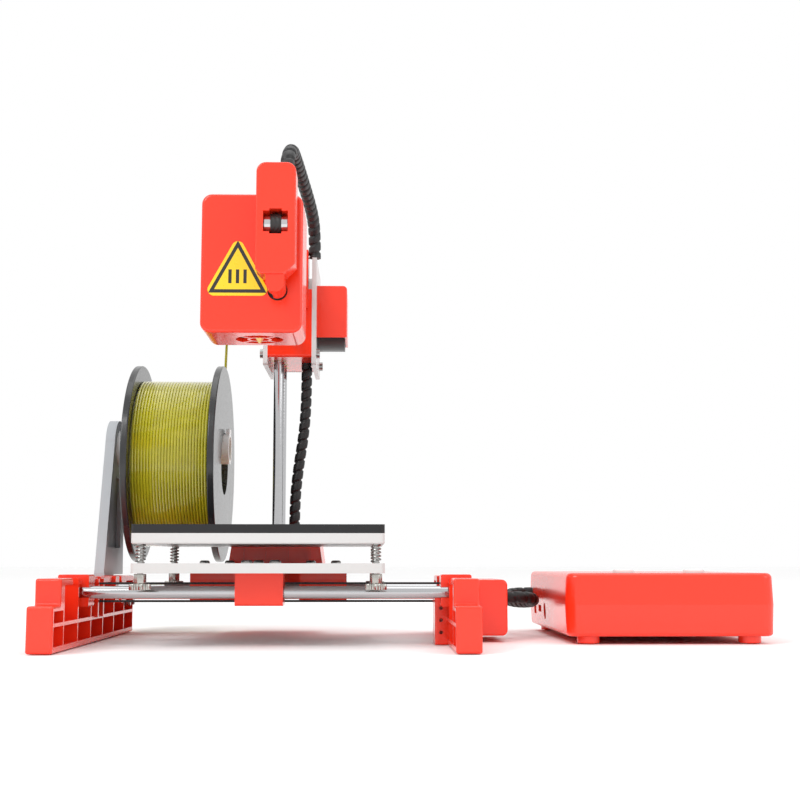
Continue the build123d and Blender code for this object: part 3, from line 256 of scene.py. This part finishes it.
def bright_zinc(name, colour=(0.40, 0.40, 0.39), roughness=0.26):
    """Zinc or nickel plate with small brush marks."""
    make = Surface(name, Metallic=1.0)
    marks = make.noise(1400.0, 4.0, 0.7)
    blotch = make.noise(220.0, 2.0)
    return make.set(
        Base_Color=make.tint(blotch, colour, 0.86, 1.08),
        Roughness=make.spread(marks, 0.3, 0.7, roughness - 0.08, roughness + 0.12),
        Normal=make.bump(marks, 0.00002))


def lacquered_can(name):
    """Black lacquered motor can."""
    tone = 0.025
    make = Surface(name, Coat_Weight=0.25, Coat_Roughness=0.2)
    grain = make.noise(1100.0, 3.0)
    return make.set(
        Base_Color=make.tint(grain, (tone, tone, tone * 1.05), 0.8, 1.3),
        Roughness=make.spread(grain, 0.3, 0.7, 0.32, 0.46),
        Normal=make.bump(grain, 0.00003))


def build_pad(name):
    """Black build film: a fine peened grain that catches the light a little."""
    make = Surface(name, IOR=1.45)
    peen = make.node("ShaderNodeTexVoronoi", {"feature": "F1"}, {"Vector": make.coords, "Scale": 1500.0})
    wear = make.noise(45.0, 4.0)
    return make.set(
        Base_Color=make.tint(wear, (0.008, 0.008, 0.009), 0.7, 1.5),
        Roughness=make.spread(wear, 0.3, 0.7, 0.42, 0.60),
        Normal=make.bump(peen, 0.00004))


def belt_rubber(name):
    """Belt: black rubber with a row of teeth across it."""
    tooth_pitch = 0.002
    make = Surface(name)
    along = make.axis("X") + make.axis("Y")
    teeth = make.node("ShaderNodeMath", {"operation": "SINE"}, {0: along * (2 * math.pi / tooth_pitch)})
    dust = make.noise(400.0, 4.0)
    return make.set(
        Base_Color=make.tint(dust, (0.018, 0.018, 0.018), 0.7, 1.5),
        Roughness=make.spread(dust, 0.3, 0.7, 0.5, 0.7),
        Normal=make.bump(teeth, 0.00012, 0.6))


def filament_gloss(name, colour):
    """Translucent glossy filament; random darker and lighter patches are painted shade, standing for the
    deeper colour in the gaps between the turns.
    """
    make = Surface(name, Coat_Weight=0.7, Coat_Roughness=0.04, Transmission_Weight=0.12, IOR=1.49)
    # Painted shade: this noise darkens and lightens the filament's colour in random patches.
    depth = make.noise(120.0, 2.0)
    streak = make.noise(900.0, 3.0)
    return make.set(
        Base_Color=make.tint(depth, colour, 0.8, 1.2),
        Roughness=make.spread(streak, 0.3, 0.7, 0.10, 0.22),
        Normal=make.bump(streak, 0.00001))


def wrap_plastic(name, tone):
    """Spiral wrap round the wires, dull black with paler scuffed edges."""
    make = Surface(name, IOR=1.45)
    scuff = make.noise(520.0, 4.0, 0.7)
    return make.set(
        Base_Color=make.tint(scuff, (tone, tone, tone * 1.04), 0.6, 1.7),
        Roughness=make.spread(scuff, 0.3, 0.7, 0.34, 0.55),
        Normal=make.bump(scuff, 0.00004))


def circuit_board(name):
    """Green solder mask with pale tracks."""
    make = Surface(name, Coat_Weight=0.4, Coat_Roughness=0.15)
    cells = make.node("ShaderNodeTexVoronoi", {"feature": "F1", "distance": "CHEBYCHEV"}, {
        "Vector": make.coords, "Scale": 260.0})
    tracks = make.spread(cells, 0.28, 0.34, 0.0, 1.0)
    return make.set(
        Base_Color=make.mix(tracks, (0.006, 0.10, 0.04, 1), (0.03, 0.22, 0.10, 1)),
        Roughness=make.spread(tracks, 0.0, 1.0, 0.30, 0.42),
        Normal=make.bump(tracks, 0.00002))


# ---------------------------------------------------------------- making pieces
CREASE = math.radians(38)
UP = Vector((0, 0, 1))


def piece_from(shape, name, body, material, *nodes, smooth=True, slot=None):
    """Turns a bmesh into a finished piece that rides on a body and stands for CAD nodes."""
    bmesh.ops.remove_doubles(shape, verts=shape.verts, dist=1e-6)
    bmesh.ops.recalc_face_normals(shape, faces=shape.faces)
    mesh = bpy.data.meshes.new(name)
    shape.to_mesh(mesh)
    shape.free()
    made = bpy.data.objects.new(name, mesh)
    bpy.context.scene.collection.objects.link(made)
    if smooth:
        mesh.shade_smooth()
        mesh.set_sharp_from_angle(angle=CREASE)
    mesh.materials.append(material)
    if body:
        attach(made, body)
    if nodes:
        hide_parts(*nodes)
    return made


def faced_along(axis, centre):
    """The matrix that puts a flat shape at the centre with its upper side along the axis."""
    turn = UP.rotation_difference(Vector(axis)).to_matrix().to_4x4()
    return Matrix.Translation(centre) @ turn


def edges_of(verts):
    """Every edge that touches the vertices."""
    return list({edge for vert in verts for edge in vert.link_edges})


def round_rims(shape, verts, width, segments):
    """Bevels the rims of the many-sided faces at the vertices."""
    caps = {face for vert in verts for face in vert.link_faces if len(face.verts) > 4}
    rims = list({edge for face in caps for edge in face.edges})
    bmesh.ops.bevel(
        shape, geom=rims, offset=width, segments=segments, profile=0.5, affect="EDGES", material=-1)


def disc_body(shape, centre, axis, radius, length, segments):
    """A closed cylinder round the axis; returns its vertices."""
    return bmesh.ops.create_cone(
        shape, cap_ends=True, segments=segments, radius1=radius, radius2=radius, depth=length,
        matrix=faced_along(axis, centre))["verts"]


def coil(shape, centre, axis, radius, wire, turns, pitch, steps_per_turn):
    """A wire wound round an axis from the centre of its first turn, with closed ends."""
    axis = Vector(axis)
    side = axis.orthogonal().normalized()
    ring = bmesh.ops.create_circle(
        shape, segments=8, radius=wire / 2, matrix=faced_along(axis.cross(side), centre + side * radius))
    start = edges_of(ring["verts"])
    bmesh.ops.contextual_create(shape, geom=start)
    steps = int(turns * steps_per_turn)
    step = axis * (pitch * turns / steps)
    swept = bmesh.ops.spin(
        shape, geom=start, cent=centre, axis=axis, dvec=step, angle=2 * math.pi * turns,
        steps=steps, use_merge=False, use_normal_flip=False, use_duplicate=False)
    last = [item for item in swept["geom_last"] if isinstance(item, bmesh.types.BMEdge)]
    bmesh.ops.contextual_create(shape, geom=last)


def route_line(route):
    """A smooth open curve steered by the route's points."""
    data = bpy.data.curves.new("route_line", "CURVE")
    data.dimensions = "3D"
    spline = data.splines.new("NURBS")
    spline.points.add(len(route) - 1)
    for point, at in zip(spline.points, route):
        point.co = (*at, 1.0)
    spline.order_u = 3
    spline.use_endpoint_u = True
    spline.resolution_u = 40
    made = bpy.data.objects.new("route_line", data)
    bpy.context.scene.collection.objects.link(made)
    return made


def even_points(route, spacing):
    """Points at even distances along the route's own smooth curve, and its length."""
    line = route_line(route)
    mesh = bpy.data.meshes.new_from_object(line)
    fine = [vert.co.copy() for vert in mesh.vertices]
    bpy.data.meshes.remove(mesh)
    bpy.data.objects.remove(line)
    reach = [0.0]
    for first, second in zip(fine, fine[1:]):
        reach.append(reach[-1] + (second - first).length)
    count = max(int(reach[-1] / spacing), 8)
    points = []
    index = 0
    for step in range(count + 1):
        want = reach[-1] * step / count
        while index < len(fine) - 2 and reach[index + 1] < want:
            index += 1
        part = (want - reach[index]) / max(reach[index + 1] - reach[index], 1e-9)
        points.append(fine[index].lerp(fine[index + 1], part))
    return points, reach[-1]


def swept_tube(shape, points, radius_at, segments):
    """Rings carried along the points without twisting, each bridged to the next, with closed ends."""
    heading = (points[1] - points[0]).normalized()
    facing = heading.to_track_quat("Z", "Y")
    before = None
    for index, at in enumerate(points):
        ahead = points[min(index + 1, len(points) - 1)] - points[max(index - 1, 0)]
        facing = heading.rotation_difference(ahead.normalized()) @ facing
        heading = ahead.normalized()
        spot = Matrix.Translation(at) @ facing.to_matrix().to_4x4()
        ring = bmesh.ops.create_circle(shape, segments=segments, radius=1.0, matrix=spot)["verts"]
        for number, vert in enumerate(ring):
            vert.co = at + (vert.co - at) * radius_at(index, number)
        edges = edges_of(ring)
        if before:
            bmesh.ops.bridge_loops(shape, edges=before + edges)
        else:
            bmesh.ops.contextual_create(shape, geom=edges)
        before = edges
    bmesh.ops.contextual_create(shape, geom=[edge for edge in before if len(edge.link_faces) < 2])


def wrapped_bundle(name, body, route, diameter, pitch, material, node, slot):
    """A wire bundle in spiral wrap: slightly domed turns with a groove between them."""
    spacing, segments = pitch / 12, 24
    turn_share, edge_share, dome, groove_depth = 0.70, 0.14, 0.03, 0.22
    points, length = even_points(route, spacing)

    def radius_at(index, number):
        turn = index * spacing / pitch - number / segments
        across = abs((turn % 1.0) * 2.0 - 1.0)
        groove = min(max((across - turn_share) / edge_share, 0.0), 1.0)
        return diameter / 2 * (1.0 - dome * across - groove_depth * groove)

    shape = bmesh.new()
    swept_tube(shape, points, radius_at, segments)
    made = piece_from(shape, name, body, material, node, slot=slot)
    return made, points, length


# ---------------------------------------------------------------- operators
def colours():
    return bpy.context.scene.printer_colours


def sizes():
    return bpy.context.scene.printer_sizes


def finish_nodes(material, *nodes):
    """Gives CAD nodes their material."""
    for name in nodes:
        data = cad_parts[name].data
        data.materials.clear()
        data.materials.append(material)


class PRINTER_OT_plastics(bpy.types.Operator):
    """Finishes the moulded plastic pieces"""
    bl_idname = "printer.plastics"
    bl_label = "Plastics"

    def execute(self, context):
        body = glossy_moulding("body_moulding", colours().body)
        finish_nodes(
            body, "left_leg", "right_leg", "motor_housing", "column_base", "front_bearing_holder",
            "rear_bearing_holder", "arm_block", "end_block", "head_cover", "head_base", "arm_motor_cover",
            "box_top_shell", "box_bottom_shell", "box_feet")
        finish_nodes(glossy_moulding("spool_moulding", colours().flange, 0.22), "spool")
        finish_nodes(glossy_moulding("white_moulding", (0.80, 0.80, 0.79), 0.2), "spool_axle")
        finish_nodes(glossy_moulding("key_moulding", (0.78, 0.78, 0.77), 0.24), "home_key", "print_key")
        finish_nodes(matt_moulding("holder_moulding", colours().holder), "spool_arm")
        dark = matt_moulding("dark_moulding", (0.02, 0.02, 0.021))
        finish_nodes(
            dark, "belt_clamp", "head_carriage", "fan_rotor", "bed_pulley", "arm_pulley", "bed_idler")
        finish_nodes(build_pad("build_film"), "bed_pad")
        finish_nodes(circuit_board("board_mask"), "main_board")
        return {"FINISHED"}


class PRINTER_OT_metals(bpy.types.Operator):
    """Finishes the plates, rods, screws and motors"""
    bl_idname = "printer.metals"
    bl_label = "Metals"

    def execute(self, context):
        plate = painted_plate("plate_paint", colours().plate)
        finish_nodes(plate, "upper_plate", "lower_plate", "arm_bracket")
        finish_nodes(polished_rod("bed_rod_steel", 0), "bed_rods")
        finish_nodes(polished_rod("arm_rod_steel", 1), "arm_rods")
        finish_nodes(polished_rod("column_rod_steel", 2), "column_rods")
        finish_nodes(polished_rod("roller_steel", 0, 0.58), "arm_idler")
        zinc = bright_zinc("bright_zinc")
        finish_nodes(zinc, "bed_screws", "arm_screws", "frame_bolts", "bed_bearings", "board_ports")
        finish_nodes(lacquered_can("motor_lacquer"), "frame_motors", "arm_motor", "extruder_motor")
        finish_nodes(bright_zinc("turned_brass", (0.72, 0.50, 0.20), 0.22), "hot_end", "drive_gear")
        finish_nodes(bright_zinc("sintered_bronze", (0.52, 0.33, 0.15), 0.38), "arm_bushes")
        finish_nodes(belt_rubber("belt_rubber"), "bed_belt", "arm_belt")
        return {"FINISHED"}


class PRINTER_OT_sticker(bpy.types.Operator):
    """Prints a plain bordered triangle with three bars on the head's film"""
    bl_idname = "printer.sticker"
    bl_label = "Sticker"

    def execute(self, context):
        low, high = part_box("heat_sticker")
        # The triangle runs on past its rounded corners, so it is a little larger than the box.
        half, height = 0.0163, 0.0299
        slant = math.hypot(half, height)
        border_outside, border_inside = 0.0014, 0.0031
        bar_pitch, bar_half, bars_half, bars_foot, bars_head = 0.0018, 0.0008, 0.0045, 0.0060, 0.0128
        make = Surface("sticker_film", Coat_Weight=0.3, Coat_Roughness=0.1)
        aside = make.maths("ABSOLUTE", make.axis("X") - (low[0] + high[0]) / 2)
        above = make.axis("Z") - low[2]
        side = ((half - aside) * height - above * half) / slant
        inset = make.maths("MINIMUM", side, above)
        border = (inset > border_outside) * (inset < border_inside)
        stripes = make.maths("PINGPONG", aside, bar_pitch) < bar_half
        bars = stripes * (aside < bars_half) * (above > bars_foot) * (above < bars_head)
        ink = make.maths("MAXIMUM", border, bars)
        wear = make.noise(300.0, 3.0)
        make.set(
            Base_Color=make.mix(ink, (*colours().sticker, 1), (0.012, 0.012, 0.012, 1)),
            Roughness=make.spread(wear, 0.3, 0.7, 0.24, 0.38),
            Normal=make.bump(wear, 0.00001))
        finish_nodes(make.material, "heat_sticker")
        return {"FINISHED"}


class PRINTER_OT_winding(bpy.types.Operator):
    """Winds the filament on the spool, one turn beside the next"""
    bl_idname = "printer.winding"
    bl_label = "Winding"

    def execute(self, context):
        low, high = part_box("winding")
        centre = middle("winding")
        strand, wraps, around = sizes().strand, sizes().wraps, 96
        outer, room = (high[2] - low[2]) / 2, high[0] - low[0]
        pitch = room / wraps
        core, slack = outer - strand * 0.85, 0.0001
        shape = bmesh.new()
        start = Vector((low[0] + pitch * 0.5, centre.y, centre.z))
        coil(shape, start, (1, 0, 0), outer - strand / 2, strand, wraps - 1, pitch, around)
        disc_body(shape, centre, (1, 0, 0), core, room - slack, around)
        material = filament_gloss("filament_gloss", colours().filament)
        piece_from(shape, "wound_filament", "spool", material, "winding", slot="filament")
        return {"FINISHED"}


class PRINTER_OT_springs(bpy.types.Operator):
    """Coils the four levelling springs"""
    bl_idname = "printer.springs"
    bl_label = "Levelling springs"

    def execute(self, context):
        low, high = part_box("levelling_springs")
        outer, wire, turns = 0.0026, 0.0008, sizes().coil_turns
        pitch = (high[2] - low[2] - wire) / turns
        shape = bmesh.new()
        for x in (low[0] + outer, high[0] - outer):
            for y in (low[1] + outer, high[1] - outer):
                start = Vector((x, y, low[2] + wire / 2))
                coil(shape, start, UP, outer - wire / 2, wire, turns, pitch, 24)
        material = bright_zinc("spring_wire", (0.34, 0.34, 0.33), 0.2)
        piece_from(shape, "coiled_springs", "bed", material, "levelling_springs", slot="zinc_steel")
        return {"FINISHED"}


class PRINTER_OT_nuts(bpy.types.Operator):
    """Knurls the four levelling nuts"""
    bl_idname = "printer.nuts"
    bl_label = "Levelling nuts"

    def execute(self, context):
        material = bright_zinc("nut_nickel", (0.46, 0.45, 0.42), 0.24)
        flange, stem_radius, edge, notch_depth = 0.0029, 0.003, 0.0003, 0.075
        for corner in ("front_left", "rear_left", "front_right", "rear_right"):
            node = "nut_" + corner
            low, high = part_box(node)
            centre = middle(node)
            rim, stem = (high[0] - low[0]) / 2, high[2] - low[2] - flange
            shape = bmesh.new()
            seat = Vector((centre.x, centre.y, low[2] + flange / 2))
            disc = disc_body(shape, seat, UP, rim, flange, 2 * sizes().knurls)
            around = sorted(disc, key=lambda vert: math.atan2(vert.co.y - seat.y, vert.co.x - seat.x))
            for number, vert in enumerate(around):
                if (number // 2) % 2:
                    vert.co += (seat - vert.co) * Vector((1, 1, 0)) * notch_depth
            round_rims(shape, disc, edge, 2)
            above = Vector((centre.x, centre.y, high[2] - stem / 2))
            round_rims(shape, disc_body(shape, above, UP, stem_radius, stem, 32), edge, 3)
            piece_from(shape, "knurled_" + node, node, material, node, slot="zinc_steel")
        return {"FINISHED"}


class PRINTER_OT_lift_screw(bpy.types.Operator):
    """Cuts the four-start thread of the lift screw"""
    bl_idname = "printer.lift_screw"
    bl_label = "Lift screw"

    def execute(self, context):
        low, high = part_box("lead_screw")
        centre = middle("lead_screw")
        radius, length = (high[0] - low[0]) / 2, high[2] - low[2]
        starts, lead, thread_depth = 4, 0.008, 0.0004
        step, segments, plain_rings, plain_depth = 0.00028, 32, 8, 0.00015
        count = int(length / step)
        points = [Vector((centre.x, centre.y, low[2] + length * index / count)) for index in range(count + 1)]

        def radius_at(index, number):
            turn = starts * (points[index].z / lead - number / segments)
            wave = abs((turn % 1.0) * 2.0 - 1.0)
            if index < plain_rings or index > count - plain_rings:
                return radius - plain_depth
            return radius - thread_depth * min(max(wave * 2.0 - 0.5, 0.0), 1.0)

        shape = bmesh.new()
        swept_tube(shape, points, radius_at, segments)
        material = polished_rod("screw_steel", 2, 0.46)
        piece_from(shape, "threaded_screw", "lead_screw", material, "lead_screw", slot="chrome_rod")
        return {"FINISHED"}


# Routes of the cords, in millimetres of the CAD layout.
LOOM_BOX = [(123.0, 130.0, 22.0), (134.0, 130.0, 22.0), (142.0, 139.0, 21.0), (143.5, 153.0, 19.0),
            (139.5, 168.0, 18.0), (134.0, 183.0, 18.2), (131.3, 197.0, 20.0), (136.0, 209.5, 22.2),
            (143.5, 215.5, 22.6), (150.6, 215.5, 22.6)]
LOOM_LOWER = [(6.7, 190.0, 56.0), (6.7, 190.0, 76.0), (8.7, 190.5, 97.0), (12.0, 190.0, 118.0),
              (13.3, 189.0, 139.0), (13.3, 189.0, 159.5)]
LOOM_UPPER = [(8.7, 45.0, 217.6), (8.7, 45.0, 236.5), (10.1, 60.0, 252.5), (11.5, 83.0, 253.0),
              (13.5, 109.0, 250.0), (16.0, 135.0, 245.5), (18.0, 157.0, 239.5), (18.4, 168.0, 229.0),
              (18.4, 168.0, 219.0)]
FILAMENT_LOWER = [(-45.0, 267.9, 102.0), (-44.9, 266.6, 127.0), (-43.2, 256.0, 151.0), (-40.4, 239.0, 179.0),
                  (-36.5, 211.0, 195.0), (-31.3, 176.0, 203.0)]
FILAMENT_UPPER = [(-31.3, 176.0, 203.0), (-26.9, 148.0, 209.4), (-24.1, 119.0, 211.0), (-22.5, 90.0, 208.0),
                  (-21.8, 62.0, 200.0)]


class PRINTER_OT_looms(bpy.types.Operator):
    """Runs the spiral-wrapped wire bundles"""
    bl_idname = "printer.looms"
    bl_label = "Wire bundles"

    def execute(self, context):
        pitch = sizes().wrap_pitch
        black = wrap_plastic("black_wrap", 0.006)
        # The upper bundle gets a paler copy of the same black wrap.
        grey = wrap_plastic("paler_wrap", 0.016)
        for node, route, across, material, ends in (
                ("loom_box", LOOM_BOX, 0.0065, black, None),
                ("loom_lower", LOOM_LOWER, 0.0065, black, ("frame", "arm")),
                ("loom_upper", LOOM_UPPER, 0.0072, grey, ("head", "arm"))):
            points = [place(*point) for point in route]
            body = None if ends else "frame"
            made, path, length = wrapped_bundle(
                "wrapped_" + node, body, points, across, pitch, material, node, "loom_black")
            if ends:
                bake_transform(made)
        return {"FINISHED"}


class PRINTER_OT_strand(bpy.types.Operator):
    """Leads the filament from the spool over the arm to the head"""
    bl_idname = "printer.strand"
    bl_label = "Filament strand"

    def execute(self, context):
        material = filament_gloss("strand_gloss", colours().filament)
        radius, spacing = sizes().strand / 2, 0.0015
        # The number is the route's point where a blend from the first body to the second would start; no
        # blend is made and nothing reads it.
        for node, route, ends, held in (
                ("filament_lower", FILAMENT_LOWER, ("frame", "arm"), 4),
                ("filament_upper", FILAMENT_UPPER, ("arm", "head"), 0)):
            points = [place(*point) for point in route]
            path, length = even_points(points, spacing)
            shape = bmesh.new()
            swept_tube(shape, path, lambda index, number: radius, 12)
            made = piece_from(shape, "strand_" + node, None, material, node, slot="filament")
            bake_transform(made)
        return {"FINISHED"}


def lay_table():
    """A wide white card just under the feet."""
    shape = bmesh.new()
    bmesh.ops.create_grid(shape, x_segments=1, y_segments=1, size=15.0)
    bmesh.ops.translate(shape, verts=shape.verts, vec=(0, 0, -0.0004))
    make = Surface("table_card", Specular_IOR_Level=0.2)
    tone = make.noise(3.0, 2.0)
    card = make.set(
        Base_Color=make.tint(tone, (0.97, 0.97, 0.97), 0.995, 1.005),
        Roughness=make.spread(tone, 0.3, 0.7, 0.75, 0.85))
    piece_from(shape, "table", None, card, smooth=False)


def light_room(scene):
    """Even white light from all round."""
    world = bpy.data.worlds.new("studio")
    scene.world = world
    world.use_nodes = True
    world.node_tree.nodes["Background"].inputs["Color"].default_value = (1, 1, 1, 1)
    world.node_tree.nodes["Background"].inputs["Strength"].default_value = 1.0


def hang_light(scene, name, at, towards, power, side):
    """A square soft light that looks at a point."""
    data = bpy.data.lights.new(name, "AREA")
    data.energy = power
    data.size = side
    made = bpy.data.objects.new(name, data)
    made.location = at
    made.rotation_euler = (Vector(towards) - Vector(at)).to_track_quat("-Z", "Y").to_euler()
    scene.collection.objects.link(made)


def set_camera(scene):
    """A long lens in front of the printer, tilted a little upwards."""
    data = bpy.data.cameras.new("camera")
    data.lens = 60.0
    data.sensor_width = 36.0
    data.clip_start = 0.05
    data.clip_end = 40.0
    made = bpy.data.objects.new("camera", data)
    made.location = place(50.8, -605.0, 40.2)
    made.rotation_euler = (math.radians(96.99), 0.0, math.radians(-1.33))
    scene.collection.objects.link(made)
    scene.camera = made


class PRINTER_OT_stage(bpy.types.Operator):
    """Sets the table, the lights and the camera"""
    bl_idname = "printer.stage"
    bl_label = "Stage"

    def execute(self, context):
        context.scene.view_settings.view_transform = "Standard"
        lay_table()
        light_room(context.scene)
        focus = (0.0, 0.0, 0.1)
        for name, at, power, side in (
                ("key", (-0.8, -1.0, 1.1), 9.0, 0.7),
                ("fill", (1.2, -0.8, 0.7), 3.0, 0.8),
                ("top", (0.1, 0.2, 1.6), 5.0, 1.2)):
            hang_light(context.scene, name, at, focus, power, side)
        set_camera(context.scene)
        return {"FINISHED"}


class PRINTER_PT_panel(bpy.types.Panel):
    """Lists the sizes, the colours and the makers of the pieces"""
    bl_idname = "PRINTER_PT_panel"
    bl_label = "Printer"
    bl_space_type = "VIEW_3D"
    bl_region_type = "UI"
    bl_category = "Printer"

    def draw(self, context):
        for group in (context.scene.printer_colours, context.scene.printer_sizes):
            for name in group.__annotations__:
                self.layout.prop(group, name)
        for maker in OPERATORS:
            self.layout.operator(maker.bl_idname)


OPERATORS = (
    PRINTER_OT_plastics, PRINTER_OT_metals, PRINTER_OT_sticker, PRINTER_OT_winding, PRINTER_OT_springs,
    PRINTER_OT_nuts, PRINTER_OT_lift_screw, PRINTER_OT_looms, PRINTER_OT_strand, PRINTER_OT_stage,
)
CLASSES = (PrinterColours, PrinterSizes, *OPERATORS, PRINTER_PT_panel)


def register():
    for kind in CLASSES:
        bpy.utils.register_class(kind)
    bpy.types.Scene.printer_colours = PointerProperty(type=PrinterColours)
    bpy.types.Scene.printer_sizes = PointerProperty(type=PrinterSizes)


def unregister():
    del bpy.types.Scene.printer_sizes
    del bpy.types.Scene.printer_colours
    for kind in reversed(CLASSES):
        bpy.utils.unregister_class(kind)


def main():
    register()
    for operator in OPERATORS:
        group, name = operator.bl_idname.split(".")
        getattr(getattr(bpy.ops, group), name)()


if __name__ == "__main__":
    main()
